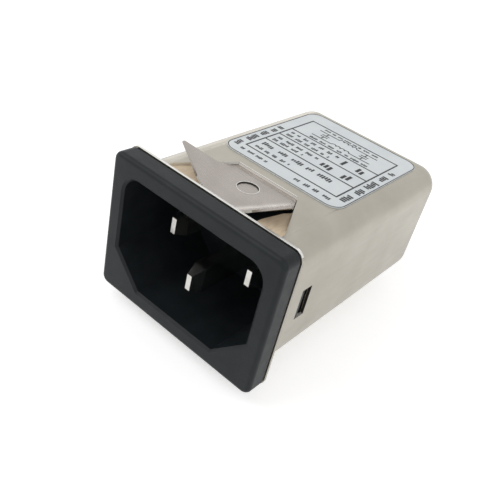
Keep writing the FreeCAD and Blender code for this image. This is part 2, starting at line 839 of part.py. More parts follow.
def choke_core():
    """Ferrite ring, turned about its own upright axis."""
    body = new_body("choke_core")
    sketch = sketch_at_y(body, "core_section", "0")
    ring_section(sketch, "core_inner / 2", "core_outer / 2", "0", "core_height")
    ring = body.newObject("PartDesign::Revolution", "core_ring")
    ring.Profile = sketch
    ring.ReferenceAxis = (sketch, ["V_Axis"])
    ring.Angle = 360
    body.Tip = ring
    doc.recompute()
    fillet(body, "core_edges", "core_round", lambda edge: isinstance(edge.Curve, Part.Circle))
    place(body, "0", "choke_place", CORE_BOTTOM)
    return body


def choke_winding(label, turned):
    """Half of the winding, wrapped round the ring with a small gap to it."""
    body = new_body(label)
    gap = "winding_gap"
    wrap = "(winding_thickness + winding_gap)"
    sketch = sketch_at_y(body, "winding_section", "0")
    ring_section(sketch, "core_inner / 2 - " + wrap, "core_outer / 2 + " + wrap,
                 "-" + wrap, "core_height + " + wrap)
    ring_section(sketch, "core_inner / 2 - " + gap, "core_outer / 2 + " + gap,
                 "-" + gap, "core_height + " + gap)
    wound = body.newObject("PartDesign::Revolution", "winding")
    wound.Profile = sketch
    wound.ReferenceAxis = (sketch, ["V_Axis"])
    wound.Midplane = True
    wound.setExpression("Angle", size("winding_angle"))
    body.Tip = wound
    doc.recompute()
    bottom = number_of("-" + wrap)
    top = number_of("core_height + " + wrap)

    def outer_curve(edge):
        level = edge.CenterOfMass.z
        return isinstance(edge.Curve, Part.Circle) and (abs(level - bottom) < 1e-3 or abs(level - top) < 1e-3)

    fillet(body, "winding_edges", "winding_thickness * 0.7", outer_curve)
    body.Placement.Rotation = FreeCAD.Rotation(FreeCAD.Vector(0, 0, 1), 180 if turned else 0)
    place(body, "0", "choke_place", CORE_BOTTOM)
    return body


def choke_base():
    """Plastic foot with the divider that keeps the two windings apart."""
    body = new_body("choke_base")
    radius = "core_outer / 2 + winding_gap"
    foot = circle(sketch_at_z(body, "foot", "0"), "0", "0", radius)
    extrude(body, "PartDesign::Pad", foot, "choke_base_thickness", False, False)
    half = "(core_inner / 2 - divider_gap)"
    divider = box_points("-divider_thickness / 2", "divider_thickness / 2", "-" + half, half)
    top = "choke_base_thickness + core_height + 2 * winding_thickness + 2 * winding_gap"
    pad_z(body, "divider", divider, "choke_base_thickness", top)
    place(body, "0", "choke_place", "board_top")
    return body


def leg(body, name, x, y, start, end):
    """Round connecting leg that goes down to below the board."""
    sketch = circle(sketch_at_z(body, name, end), x, y, "leg_radius")
    return extrude(body, "PartDesign::Pad", sketch, "(" + start + ") - (" + end + ")", False, False)


def x_capacitor():
    body = new_body("x_capacitor")
    plan = centred_points("x_cap_width", "x_cap_depth")
    pad_z(body, "case", plan, "0", "x_cap_height")
    bottom_edge = lambda edge: lies_at(edge, 2, "0")
    fillet(body, "case_edges", "x_cap_round", lambda edge: not bottom_edge(edge))
    for side, turn in (("left", "-"), ("right", "")):
        leg(body, side + "_leg", turn + "x_cap_leg_spacing / 2", "0", "0", "-board_thickness - solder_stand")
    place(body, "0", "x_cap_front + x_cap_depth / 2", "board_top")
    return body


def y_capacitor(label, turn):
    """Disc with two legs, standing beside the choke."""
    body = new_body(label)
    half = "y_cap_thickness / 2"
    centre = "(y_cap_stand + y_cap_radius)"
    disc = circle(sketch_at_x(body, "disc", "-" + half), "0", centre, "y_cap_radius")
    extrude(body, "PartDesign::Pad", disc, "y_cap_thickness", False, False)
    fillet(body, "disc_edges", "y_cap_round", lambda edge: isinstance(edge.Curve, Part.Circle))
    for end, step in (("front", "-"), ("back", "")):
        y = step + "y_cap_leg_spacing / 2"
        leg(body, end + "_leg", "0", y, centre, "-board_thickness - solder_stand")
    place(body, turn + "y_cap_side", "y_cap_place", "board_top")
    return body


def bleeder_resistor():
    """Small resistor lying on its own bent lead."""
    body = new_body("bleeder_resistor")
    half = number_of("resistor_leg_spacing / 2")
    height = number_of("resistor_stand")
    bottom = number_of("-board_thickness - solder_stand")
    bend = number_of("resistor_bend")
    route = sketch_at_x(body, "lead_route", "0")
    up = FreeCAD.Vector(0, 0, 1)

    def line(start, end):
        route.addGeometry(Part.LineSegment(FreeCAD.Vector(*start, 0), FreeCAD.Vector(*end, 0)), False)

    def turn(centre, first, last):
        circle_line = Part.Circle(FreeCAD.Vector(*centre, 0), up, bend)
        route.addGeometry(Part.ArcOfCircle(circle_line, first, last), False)

    line((-half, bottom), (-half, height - bend))
    turn((-half + bend, height - bend), math.pi / 2, math.pi)
    line((-half + bend, height), (half - bend, height))
    turn((half - bend, height - bend), 0, math.pi / 2)
    line((half, height - bend), (half, bottom))
    for first, first_end, second, second_end in ((0, 2, 1, 2), (1, 1, 2, 1), (2, 2, 3, 2), (3, 1, 4, 1)):
        route.addConstraint(Sketcher.Constraint("Tangent", first, first_end, second, second_end))
    route.addConstraint(Sketcher.Constraint("Vertical", 0))
    route.addConstraint(Sketcher.Constraint("Horizontal", 2))
    route.addConstraint(Sketcher.Constraint("Vertical", 4))
    bind(route, "DistanceX", 0, 1, "-resistor_leg_spacing / 2")
    bind(route, "DistanceY", 0, 1, "-board_thickness - solder_stand")
    bind(route, "DistanceX", 4, 2, "resistor_leg_spacing / 2")
    bind(route, "DistanceY", 4, 2, "-board_thickness - solder_stand")
    bind(route, "DistanceY", 2, 1, "resistor_stand")
    for element in (1, 3):
        index = route.addConstraint(Sketcher.Constraint("Radius", element, bend))
        route.setExpression("Constraints[%d]" % index, size("resistor_bend"))
    wire = circle(sketch_at_z(body, "lead_section", "-board_thickness - solder_stand"),
                  "0", "-resistor_leg_spacing / 2", "leg_radius")
    doc.recompute()
    pipe = body.newObject("PartDesign::AdditivePipe", "lead")
    pipe.Profile = wire
    pipe.Spine = (route, ["Edge%d" % (i + 1) for i in range(5)])
    body.Tip = pipe
    doc.recompute()
    barrel = circle(sketch_at_y(body, "barrel", "-resistor_length / 2"), "0", "resistor_stand", "resistor_radius")
    extrude(body, "PartDesign::Pad", barrel, "resistor_length", True, False)
    place(body, "y_cap_side", "resistor_place", "board_top")
    return body


def terminal_block():
    """Rear insulator: a plate inside the can and a boss through its rear opening."""
    body = new_body("terminal_block")
    plate = box_points(
        "-block_width / 2", "block_width / 2",
        "tab_height - block_height / 2", "tab_height + block_height / 2",
    )
    front = CAN_INSIDE_REAR + " - block_thickness"
    pad_y(body, "plate", plate, front, CAN_INSIDE_REAR)
    boss = box_points(
        "-boss_width / 2", "boss_width / 2",
        "tab_height - boss_height / 2", "tab_height + boss_height / 2",
    )
    pad_y(body, "boss", boss, CAN_INSIDE_REAR, "can_depth + boss_stand")

    def boss_corner(edge):
        if not runs_along(edge, 1):
            return False
        return abs(abs(ends(edge)[0].x) - number_of("boss_width / 2")) < 1e-3

    fillet(body, "boss_corners", "boss_corner", boss_corner)
    for side, turn in (("left", "-"), ("right", "")):
        middle = turn + "tab_spacing / 2"
        slot = box_points(
            middle + " - tab_width / 2 - tab_fit",
            middle + " + tab_width / 2 + tab_fit",
            "tab_height - tab_thickness / 2 - tab_fit",
            "tab_height + tab_thickness / 2 + tab_fit",
        )
        cut_y(body, side + "_tab_slot", slot, front, "can_depth + boss_stand")
    return body


def blade_plan(start):
    """Plan outline of a terminal blade whose tip corners are bevelled."""
    half = "tab_width / 2"
    end = "(can_depth + boss_stand + tab_length)"
    return [
        ("-" + half, start),
        (half, start),
        (half, end + " - tab_tip_chamfer"),
        (half + " - tab_tip_chamfer", end),
        ("-" + half + " + tab_tip_chamfer", end),
        ("-" + half, end + " - tab_tip_chamfer"),
    ]


def blade_hole(body, bottom):
    place_y = "can_depth + boss_stand + tab_length - tab_hole_inset"
    sketch = circle(sketch_at_z(body, "blade_hole", bottom), "0", place_y, "tab_hole_radius")
    extrude(body, "PartDesign::Pocket", sketch, "tab_thickness", True, False)


def supply_tab(label, x):
    """Flat terminal with a leg bent down into the board."""
    body = new_body(label)
    low = "(tab_height - tab_thickness / 2)"
    high = "(tab_height + tab_thickness / 2)"
    leg_front = "(tab_leg_back - tab_thickness)"
    pad_z(body, "blade", blade_plan("tab_leg_back"), low, high)
    half = "tab_leg_width / 2"
    neck = box_points("-" + half, half, leg_front, "tab_leg_back")
    pad_z(body, "leg", neck, SOLDER_END, high)

    def outer_bend(edge):
        if not runs_along(edge, 0):
            return False
        point = ends(edge)[0]
        at_front = abs(point.y - number_of(leg_front)) < 1e-3
        return at_front and abs(point.z - number_of(high)) < 1e-3

    fillet(body, "leg_bend", "tab_bend", outer_bend)
    blade_hole(body, low)
    place(body, x, "0", "0")
    return body


def earth_tab():
    """Flat terminal with a foot riveted to the outside of the rear wall."""
    body = new_body("earth_tab")
    high = "earth_blade_height"
    low = "(earth_blade_height - tab_thickness)"
    pad_z(body, "blade", blade_plan("can_depth"), low, high)
    foot = box_points("-tab_width / 2", "tab_width / 2", "earth_foot_bottom", high)
    pad_y(body, "foot", foot, "can_depth", "can_depth + tab_thickness")

    def outer_bend(edge):
        if not runs_along(edge, 0):
            return False
        point = ends(edge)[0]
        return abs(point.y - number_of("can_depth")) < 1e-3 and abs(point.z - number_of(high)) < 1e-3

    fillet(body, "foot_bend", "tab_bend", outer_bend)
    sketch = circle(sketch_at_y(body, "foot_hole", "can_depth"), "0", "rivet_height", "rivet_radius")
    extrude(body, "PartDesign::Pocket", sketch, "tab_thickness", False, False)
    blade_hole(body, low)
    return body


def earth_rivet():
    """Rivet through the earth tab, the rear wall and the earth strap."""
    body = new_body("earth_rivet")
    inner = "(" + CAN_INSIDE_REAR + " - strap_thickness)"
    outer = "(can_depth + tab_thickness)"
    profile = [
        ("0", inner + " - rivet_head_height"),
        ("rivet_head_radius", inner + " - rivet_head_height"),
        ("rivet_head_radius", inner),
        ("rivet_radius", inner),
        ("rivet_radius", outer),
        ("rivet_head_radius", outer),
        ("rivet_head_radius", outer + " + rivet_head_height"),
        ("0", outer + " + rivet_head_height"),
    ]
    sketch = outline(sketch_at_z(body, "rivet_section", "0"), profile)
    turned = body.newObject("PartDesign::Revolution", "rivet")
    turned.Profile = sketch
    turned.ReferenceAxis = (sketch, ["V_Axis"])
    turned.Angle = 360
    body.Tip = turned
    doc.recompute()

    def rim(edge):
        level = edge.CenterOfMass.y
        ends_of_rivet = (number_of(inner + " - rivet_head_height"), number_of(outer + " + rivet_head_height"))
        return isinstance(edge.Curve, Part.Circle) and min(abs(level - end) for end in ends_of_rivet) < 1e-3

    fillet(body, "rivet_heads", "rivet_head_height * 0.7", rim)
    place(body, "0", "0", "rivet_height")
    return body


def insulating_liner(label, turned):
    """Card along one side wall, folded in over the top and bottom."""
    body = new_body(label)
    edge = "liner_return_edge"
    skin = "liner_thickness"
    out_x = "(" + CAN_INSIDE_X + " - slide_fit)"
    out_z = "(" + CAN_INSIDE_Z + " - slide_fit)"
    in_x = "(" + out_x + " - " + skin + ")"
    in_z = "(" + out_z + " - " + skin + ")"
    channel = [
        (edge, "-" + out_z),
        (out_x, "-" + out_z),
        (out_x, out_z),
        (edge, out_z),
        (edge, in_z),
        (in_x, in_z),
        (in_x, "-" + in_z),
        (edge, "-" + in_z),
    ]
    pad_y(body, "channel", channel, "liner_front", "liner_back")
    radius = "can_edge_radius - can_wall - slide_fit"
    fillet(body, "inner_folds", radius + " - " + skin, corner_test(1, 0, in_x, 2, in_z))
    fillet(body, "outer_folds", radius, corner_test(1, 0, out_x, 2, out_z))
    half = "(slot_height / 2 + liner_notch_gap)"
    notch = box_points("slot_front - liner_notch_gap", "slot_front + slot_length + liner_notch_gap",
                       "-" + half, half)
    cut_x(body, "latch_notch", notch, in_x + " - " + skin, out_x + " + " + skin)
    body.Placement.Rotation = FreeCAD.Rotation(FreeCAD.Vector(0, 1, 0), 180 if turned else 0)
    doc.recompute()
    return body


def rating_label():
    body = new_body("rating_label")
    plan = box_points("-label_width / 2", "label_width / 2", "label_front", "label_back")
    pad_z(body, "label_outline", plan, "can_height / 2", "can_height / 2 + label_thickness")
    fillet(body, "label_corners", "label_corner", lambda edge: runs_along(edge, 2))
    return body


parts = [inlet_housing(), shield_can(), snap_spring("snap_spring_top"), snap_spring("snap_spring_bottom")]
parts[-1].Placement.Rotation = FreeCAD.Rotation(FreeCAD.Vector(0, 1, 0), 180)

for label, x, z in PINS:
    depth = "earth_tip_depth" if label == "earth_pin" else "line_tip_depth"
    parts.append(contact_pin(label, x, z, depth))

parts += [
    pin_lead("line_lead", "-"),
    pin_lead("neutral_lead", ""),
    earth_strap(),
    filter_board(),
    choke_core(),
    choke_winding("choke_winding_line", True),
    choke_winding("choke_winding_neutral", False),
    choke_base(),
    x_capacitor(),
    y_capacitor("y_capacitor_line", "-"),
    y_capacitor("y_capacitor_neutral", ""),
    bleeder_resistor(),
    terminal_block(),
    supply_tab("line_tab", "-tab_spacing / 2"),
    supply_tab("neutral_tab", "tab_spacing / 2"),
    earth_tab(),
    earth_rivet(),
    insulating_liner("insulating_liner_left", True),
    insulating_liner("insulating_liner_right", False),
    rating_label(),
]

doc.recompute()
for item in doc.Objects:
    if "Invalid" in item.State or "Error" in item.State:
        raise RuntimeError(item.Name + " is in state " + str(item.State))

os.makedirs("parts", exist_ok=True)
for part in parts:
    shape = part.Shape
    if shape.isNull() or not shape.isValid() or len(shape.Solids) != 1:
        raise RuntimeError(part.Label + " has no sound solid")
    shape.exportStep(os.path.join("parts", part.Label + ".step"))
    print(part.Label, round(shape.Volume, 2))
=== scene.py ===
import math
import random

import bmesh
import bpy
from mathutils import Matrix, Vector


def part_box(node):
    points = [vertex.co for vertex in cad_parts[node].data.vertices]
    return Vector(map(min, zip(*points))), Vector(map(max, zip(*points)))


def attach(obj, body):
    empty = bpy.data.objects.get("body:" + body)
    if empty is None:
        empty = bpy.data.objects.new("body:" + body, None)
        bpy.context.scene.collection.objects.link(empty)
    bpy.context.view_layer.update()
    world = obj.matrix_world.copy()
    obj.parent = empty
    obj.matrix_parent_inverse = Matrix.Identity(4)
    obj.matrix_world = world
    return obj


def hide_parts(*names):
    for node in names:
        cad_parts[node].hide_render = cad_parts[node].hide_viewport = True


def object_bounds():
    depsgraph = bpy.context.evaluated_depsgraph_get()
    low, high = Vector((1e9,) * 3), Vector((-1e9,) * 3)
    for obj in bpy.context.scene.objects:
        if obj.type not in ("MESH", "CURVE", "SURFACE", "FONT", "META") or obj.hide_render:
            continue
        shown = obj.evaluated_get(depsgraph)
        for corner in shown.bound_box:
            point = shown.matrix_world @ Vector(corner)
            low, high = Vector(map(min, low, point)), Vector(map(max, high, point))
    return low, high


# Looks of a snap-in power inlet with a built-in mains filter.
# Lengths are in metres; a size that is easier to read in millimetres is multiplied by MM.

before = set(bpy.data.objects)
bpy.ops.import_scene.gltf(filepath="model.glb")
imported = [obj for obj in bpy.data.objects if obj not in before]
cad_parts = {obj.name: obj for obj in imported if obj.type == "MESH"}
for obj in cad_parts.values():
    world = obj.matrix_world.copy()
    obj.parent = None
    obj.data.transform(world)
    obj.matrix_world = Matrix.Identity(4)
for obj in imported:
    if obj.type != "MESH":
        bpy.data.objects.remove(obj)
cad_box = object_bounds()
MM = 0.001


# Camera, at the photograph's viewing angle

# place in millimetres, turn in degrees, lens and sensor in millimetres
CAMERA_PLACE = (41.4547, -55.1568, 51.9053)
CAMERA_TURN = (54.8067, -11.7890, 40.7685)
CAMERA_LENS = 47.21
SENSOR_WIDTH = 36.0


def add_camera():
    data = bpy.data.cameras.new("camera")
    data.lens = CAMERA_LENS
    data.sensor_width = SENSOR_WIDTH
    data.clip_start = 0.001
    data.clip_end = 20.0
    camera = bpy.data.objects.new("camera", data)
    camera.location = [MM * number for number in CAMERA_PLACE]
    camera.rotation_euler = [math.radians(angle) for angle in CAMERA_TURN]
    bpy.context.scene.collection.objects.link(camera)
    bpy.context.scene.camera = camera


# Light and floor

# lamps: place and size in metres, power in watts
LAMPS = {
    "key": ((-0.38, -0.42, 0.62), 0.5, 1.5),
    "fill": ((0.62, -0.30, 0.40), 0.5, 0.7),
    "low_back": ((-0.62, 0.74, 0.10), 0.4, 0.35),
}
# strength of the white world: in the light that falls on things, and where it is seen
WORLD_LIGHT = 0.62
WORLD_SEEN = 1.0
FLOOR_HALF_WIDTH = 3.0
FLOOR_GLOW = 0.5


def add_lamp(name, place, size, power):
    """Square soft lamp that faces the object."""
    data = bpy.data.lights.new(name, "AREA")
    data.shape = "SQUARE"
    data.size = size
    data.energy = power
    lamp = bpy.data.objects.new(name, data)
    lamp.location = place
    lamp.rotation_euler = (-Vector(place)).to_track_quat("-Z", "Y").to_euler()
    bpy.context.scene.collection.objects.link(lamp)


def seen_directly(tree):
    """1 for camera, glossy and transmission rays, 0 for the light that falls on things."""
    path = tree.nodes.new("ShaderNodeLightPath")
    total = path.outputs["Is Camera Ray"]
    for name in ("Is Glossy Ray", "Is Transmission Ray"):
        larger = tree.nodes.new("ShaderNodeMath")
        larger.operation = "MAXIMUM"
        tree.links.new(total, larger.inputs[0])
        tree.links.new(path.outputs[name], larger.inputs[1])
        total = larger.outputs[0]
    return total


def map_value(tree, source, low, high):
    """Source value from 0 to 1, spread from low to high."""
    spread = tree.nodes.new("ShaderNodeMapRange")
    spread.inputs["To Min"].default_value = low
    spread.inputs["To Max"].default_value = high
    tree.links.new(source, spread.inputs["Value"])
    return spread.outputs["Result"]


def light_world():
    world = bpy.data.worlds.new("studio")
    world.use_nodes = True
    bpy.context.scene.world = world
    tree = world.node_tree
    background = tree.nodes["Background"]
    background.inputs["Color"].default_value = (1.0, 1.0, 1.0, 1.0)
    strength = map_value(tree, seen_directly(tree), WORLD_LIGHT, WORLD_SEEN)
    tree.links.new(strength, background.inputs["Strength"])


def floor_material():
    """White paper: it takes the shadow, and glows a little where it is seen."""
    material = bpy.data.materials.new("floor_paper")
    material.use_nodes = True
    tree = material.node_tree
    shader = tree.nodes["Principled BSDF"]
    shader.inputs["Base Color"].default_value = (0.86, 0.86, 0.86, 1.0)
    shader.inputs["Roughness"].default_value = 0.9
    shader.inputs["Specular IOR Level"].default_value = 0.0
    shader.inputs["Emission Color"].default_value = (1.0, 1.0, 1.0, 1.0)
    glow = map_value(tree, seen_directly(tree), 0.0, FLOOR_GLOW)
    tree.links.new(glow, shader.inputs["Emission Strength"])
    return material


def add_floor():
    half = FLOOR_HALF_WIDTH
    level = cad_box[0].z
    corners = [(-half, -half, level), (half, -half, level), (half, half, level), (-half, half, level)]
    mesh = bpy.data.meshes.new("floor")
    mesh.from_pydata(corners, [], [(0, 1, 2, 3)])
    mesh.materials.append(floor_material())
    floor = bpy.data.objects.new("floor", mesh)
    bpy.context.scene.collection.objects.link(floor)


# Materials

class Finish:
    """Node material with one shader, whose colour, gloss and bump come from noises."""

    def __init__(self, name, roughness, metallic=0.0, specular=0.5):
        self.material = bpy.data.materials.new(name)
        self.material.use_nodes = True
        self.tree = self.material.node_tree
        self.shader = self.tree.nodes["Principled BSDF"]
        self.shader.inputs["Metallic"].default_value = metallic
        self.shader.inputs["Roughness"].default_value = roughness
        self.shader.inputs["Specular IOR Level"].default_value = specular
        self.place = self.tree.nodes.new("ShaderNodeTexCoord").outputs["Object"]
        self.normal = None

    def noise(self, grain, stretch=(1.0, 1.0, 1.0), detail=3.0):
        """Noise from 0 to 1 whose lumps are about one grain long, in metres, times the stretch."""
        turn = self.tree.nodes.new("ShaderNodeMapping")
        turn.inputs["Scale"].default_value = [1.0 / (grain * amount) for amount in stretch]
        self.tree.links.new(self.place, turn.inputs["Vector"])
        texture = self.tree.nodes.new("ShaderNodeTexNoise")
        texture.inputs["Scale"].default_value = 1.0
        texture.inputs["Detail"].default_value = detail
        self.tree.links.new(turn.outputs["Vector"], texture.inputs["Vector"])
        return texture.outputs["Fac"]

    def tones(self, source, dark, light, low=0.3, high=0.7):
        """Base colour from a noise: dark up to low, light from high on, mixed between them."""
        ramp = self.tree.nodes.new("ShaderNodeValToRGB")
        for element, place, tone in zip(ramp.color_ramp.elements, (low, high), (dark, light)):
            element.position = place
            element.color = (*tone, 1.0)
        self.tree.links.new(source, ramp.inputs["Fac"])
        self.tree.links.new(ramp.outputs["Color"], self.shader.inputs["Base Color"])

    def roughness(self, source, low, high):
        self.tree.links.new(map_value(self.tree, source, low, high), self.shader.inputs["Roughness"])

    def bump(self, source, height):
        """Surface relief of that height, in metres, on top of any added before."""
        relief = self.tree.nodes.new("ShaderNodeBump")
        relief.inputs["Distance"].default_value = height
        relief.inputs["Strength"].default_value = 1.0
        self.tree.links.new(source, relief.inputs["Height"])
        if self.normal:
            self.tree.links.new(self.normal, relief.inputs["Normal"])
        self.normal = relief.outputs["Normal"]
        self.tree.links.new(self.normal, self.shader.inputs["Normal"])


def black_plastic():
    """Black glass-filled nylon with a fine moulded grain."""
    finish = Finish("black_plastic", 0.42, specular=0.22)
    clouds = finish.noise(3.0 * MM)
    finish.tones(clouds, dark=(0.009, 0.0115, 0.0135), light=(0.014, 0.0175, 0.020))
    finish.roughness(finish.noise(1.1 * MM), 0.34, 0.50)
    finish.bump(finish.noise(0.24 * MM, detail=2.0), 0.02 * MM)
    return finish.material


def can_metal():
    """Drawn sheet with a satin nickel plating, faintly streaked along the draw."""
    finish = Finish("can_metal", 0.34, metallic=1.0)
    clouds = finish.noise(5.0 * MM, detail=4.0)
    finish.tones(clouds, dark=(0.395, 0.37, 0.315), light=(0.465, 0.438, 0.38), low=0.25, high=0.75)
    finish.roughness(finish.noise(0.7 * MM, stretch=(1.0, 9.0, 1.0)), 0.27, 0.42)
    finish.bump(finish.noise(0.22 * MM, stretch=(1.0, 6.0, 1.0)), 0.0035 * MM)
    finish.bump(finish.noise(0.12 * MM), 0.003 * MM)
    return finish.material


def spring_metal():
    """Spring steel strip, smoother and a little redder than the can."""
    finish = Finish("spring_metal", 0.28, metallic=1.0)
    clouds = finish.noise(3.5 * MM)
    finish.tones(clouds, dark=(0.385, 0.352, 0.325), light=(0.435, 0.398, 0.372))
    finish.roughness(finish.noise(0.5 * MM, stretch=(8.0, 1.0, 1.0)), 0.20, 0.34)
    finish.bump(finish.noise(0.15 * MM, stretch=(6.0, 1.0, 1.0)), 0.002 * MM)
    return finish.material


def cut_metal_and_highlight():
    """Bright cut edge of the sheet: partly the bare steel's own colour, partly a painted highlight."""
    finish = Finish("cut_metal_and_highlight", 0.4, metallic=0.5)
    finish.tones(finish.noise(3.0 * MM), dark=(0.82, 0.81, 0.77), light=(0.90, 0.89, 0.86))
    finish.roughness(finish.noise(1.5 * MM), 0.30, 0.42)
    return finish.material


def painted_shade_metal():
    """Painted shade on the wall of a dimple or slot, near-black as in the recess's shadow."""
    finish = Finish("painted_shade_metal", 0.6, metallic=0.4)
    finish.tones(finish.noise(0.3 * MM), dark=(0.012, 0.011, 0.010), light=(0.035, 0.032, 0.030))
    finish.roughness(finish.noise(0.15 * MM), 0.5, 0.7)
    return finish.material


def plated_metal(name, dark, light, rough_low, rough_high):
    """Bright plating with faint clouds and fine scratches."""
    finish = Finish(name, (rough_low + rough_high) / 2, metallic=1.0)
    finish.tones(finish.noise(1.6 * MM), dark, light)
    finish.roughness(finish.noise(0.3 * MM, stretch=(1.0, 7.0, 1.0)), rough_low, rough_high)
    finish.bump(finish.noise(0.10 * MM, stretch=(1.0, 8.0, 1.0)), 0.0015 * MM)
    return finish.material


def fibre_card_and_reflection():
    """Tan insulating card with short fibres; the pieces under the wings use it to paint the can's warm
    reflection.
    """
    finish = Finish("fibre_card_and_reflection", 0.75, specular=0.3)
    fibres = finish.noise(0.35 * MM, stretch=(1.0, 4.0, 1.0), detail=5.0)
    finish.tones(fibres, dark=(0.74, 0.59, 0.42), light=(0.92, 0.78, 0.59), low=0.25, high=0.75)
    finish.bump(fibres, 0.012 * MM)
    return finish.material


def label_film():
    """Pale silvery film with a satin face."""
    finish = Finish("label_film", 0.45, specular=0.4)
    clouds = finish.noise(4.0 * MM)
    finish.tones(clouds, dark=(0.70, 0.745, 0.765), light=(0.77, 0.81, 0.825))
    finish.roughness(finish.noise(0.5 * MM), 0.38, 0.52)
    finish.bump(finish.noise(0.18 * MM), 0.002 * MM)
    return finish.material


def print_ink_and_edge_shadow():
    """Near-black ink with faint specks; it also paints the shadow line along the label's edge."""
    finish = Finish("print_ink_and_edge_shadow", 0.5, specular=0.4)
    specks = finish.noise(0.25 * MM)
    finish.tones(specks, dark=(0.008, 0.008, 0.010), light=(0.026, 0.026, 0.030), high=0.75)
    finish.roughness(specks, 0.42, 0.6)
    return finish.material


def enamelled_wire():
    """Copper wire under clear enamel."""
    finish = Finish("copper_wire", 0.3, metallic=0.6)
    finish.tones(finish.noise(0.8 * MM), dark=(0.42, 0.17, 0.07), light=(0.60, 0.27, 0.12))
    finish.roughness(finish.noise(0.4 * MM), 0.24, 0.36)
    finish.bump(finish.noise(0.3 * MM), 0.004 * MM)
    return finish.material


# Inner pieces: dark tone, light tone, roughness, then grain and relief in millimetres
INNER_FINISHES = {
    "board_laminate": ((0.045, 0.115, 0.06), (0.06, 0.15, 0.075), 0.45, 0.6, 0.004),
    "ferrite": ((0.028, 0.027, 0.027), (0.05, 0.048, 0.047), 0.55, 0.5, 0.01),
    "base_plastic": ((0.30, 0.29, 0.26), (0.36, 0.35, 0.32), 0.45, 1.2, 0.004),
    "x_capacitor_case": ((0.50, 0.33, 0.05), (0.62, 0.42, 0.08), 0.4, 1.5, 0.003),
    "y_capacitor_coat": ((0.03, 0.12, 0.30), (0.05, 0.17, 0.40), 0.35, 0.8, 0.01),
    "resistor_coat": ((0.22, 0.30, 0.36), (0.30, 0.40, 0.46), 0.35, 0.6, 0.004),
}
INNER_UNEVENNESS = 0.06


def inner_material(name):
    """Finish of an inner piece: two tones, a little uneven gloss and relief."""
    dark, light, roughness, grain, relief = INNER_FINISHES[name]
    finish = Finish(name, roughness)
    mottle = finish.noise(grain * MM)
    finish.tones(mottle, dark, light)
    finish.roughness(mottle, roughness - INNER_UNEVENNESS, roughness + INNER_UNEVENNESS)
    finish.bump(finish.noise(grain * MM / 3), relief * MM)
    return finish.material


def dress_nodes(steel, spring, card_and_reflection):
    """One finish on each node of the frame."""
    plastic = black_plastic()
    pins = plated_metal("pin_metal", (0.60, 0.585, 0.55), (0.70, 0.685, 0.65), 0.16, 0.28)
    tabs = plated_metal("tab_metal", (0.56, 0.55, 0.53), (0.66, 0.65, 0.63), 0.22, 0.36)
    copper = enamelled_wire()
    disc_coat = inner_material("y_capacitor_coat")
    dress = {
        "inlet_housing": plastic,
        "terminal_block": plastic,
        "shield_can": steel,
        "snap_spring_top": spring,
        "snap_spring_bottom": spring,
        "line_pin": pins,
        "neutral_pin": pins,
        "earth_pin": pins,
        "line_lead": copper,
        "neutral_lead": copper,
        "earth_strap": tabs,
        "earth_rivet": tabs,
        "line_tab": tabs,
        "neutral_tab": tabs,
        "earth_tab": tabs,
        "filter_board": inner_material("board_laminate"),
        "choke_core": inner_material("ferrite"),
        "choke_winding_line": copper,
        "choke_winding_neutral": copper,
        "choke_base": inner_material("base_plastic"),
        "x_capacitor": inner_material("x_capacitor_case"),
        "y_capacitor_line": disc_coat,
        "y_capacitor_neutral": disc_coat,
        "bleeder_resistor": inner_material("resistor_coat"),
        "insulating_liner_left": card_and_reflection,
        "insulating_liner_right": card_and_reflection,
        "rating_label": label_film(),
    }
    for name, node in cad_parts.items():
        slots = node.data.materials
        if not slots:
            slots.append(dress[name])
        for i in range(len(slots)):
            slots[i] = dress[name]


# Shapes. Outlines and heights are in millimetres, heights from the module's axis.

CIRCLE_STEPS = 64


def mirrored(half):
    """Whole outline from its right half."""
    return half + [(-x, y) for x, y in reversed(half)]


def circle(centre, radius):
    turns = [math.tau * i / CIRCLE_STEPS for i in range(CIRCLE_STEPS)]
    return [(centre[0] + radius * math.cos(turn), centre[1] + radius * math.sin(turn)) for turn in turns]


def mesh_data(mesh, name):
    """Finished mesh, with its faces turned outwards."""
    bmesh.ops.recalc_face_normals(mesh, faces=mesh.faces)
    data = bpy.data.meshes.new(name)
    mesh.to_mesh(data)
    mesh.free()
    return data


def add_prism(mesh, points, low, high):
    """Closed prism between two heights, from an outline in X and Y."""
    bottom = [mesh.verts.new((x * MM, y * MM, low * MM)) for x, y in points]
    top = [mesh.verts.new((x * MM, y * MM, high * MM)) for x, y in points]
    mesh.faces.new(top)
    mesh.faces.new(bottom[::-1])
    for i in range(len(points)):
        j = (i + 1) % len(points)
        mesh.faces.new((bottom[i], bottom[j], top[j], top[i]))


def prism_data(points, low, high):
    mesh = bmesh.new()
    add_prism(mesh, points, low, high)
    return mesh_data(mesh, "prism")


def ring_data(centre, inner, outer, low, high):
    """Flat ring between two radii and two heights."""
    mesh = bmesh.new()
    loops = [
        [mesh.verts.new((x * MM, y * MM, z * MM)) for x, y in circle(centre, radius)]
        for radius, z in ((inner, low), (outer, low), (outer, high), (inner, high))
    ]
    for first, second in zip(loops, loops[1:] + loops[:1]):
        for i in range(CIRCLE_STEPS):
            j = (i + 1) % CIRCLE_STEPS
            mesh.faces.new((first[i], first[j], second[j], second[i]))
    return mesh_data(mesh, "ring")


def carve(data, cutters):
    """Mesh with each cutter's mesh taken out of it."""
    collection = bpy.context.scene.collection
    for cutter in cutters:
        blank = bpy.data.objects.new("blank", data)
        tool = bpy.data.objects.new("tool", cutter)
        collection.objects.link(blank)
        collection.objects.link(tool)
        cut = blank.modifiers.new("cut", "BOOLEAN")
        cut.operation = "DIFFERENCE"
        cut.solver = "EXACT"
        cut.object = tool
        depsgraph = bpy.context.evaluated_depsgraph_get()
        data = bpy.data.meshes.new_from_object(blank.evaluated_get(depsgraph))
        bpy.data.objects.remove(blank)
        bpy.data.objects.remove(tool)
    return data


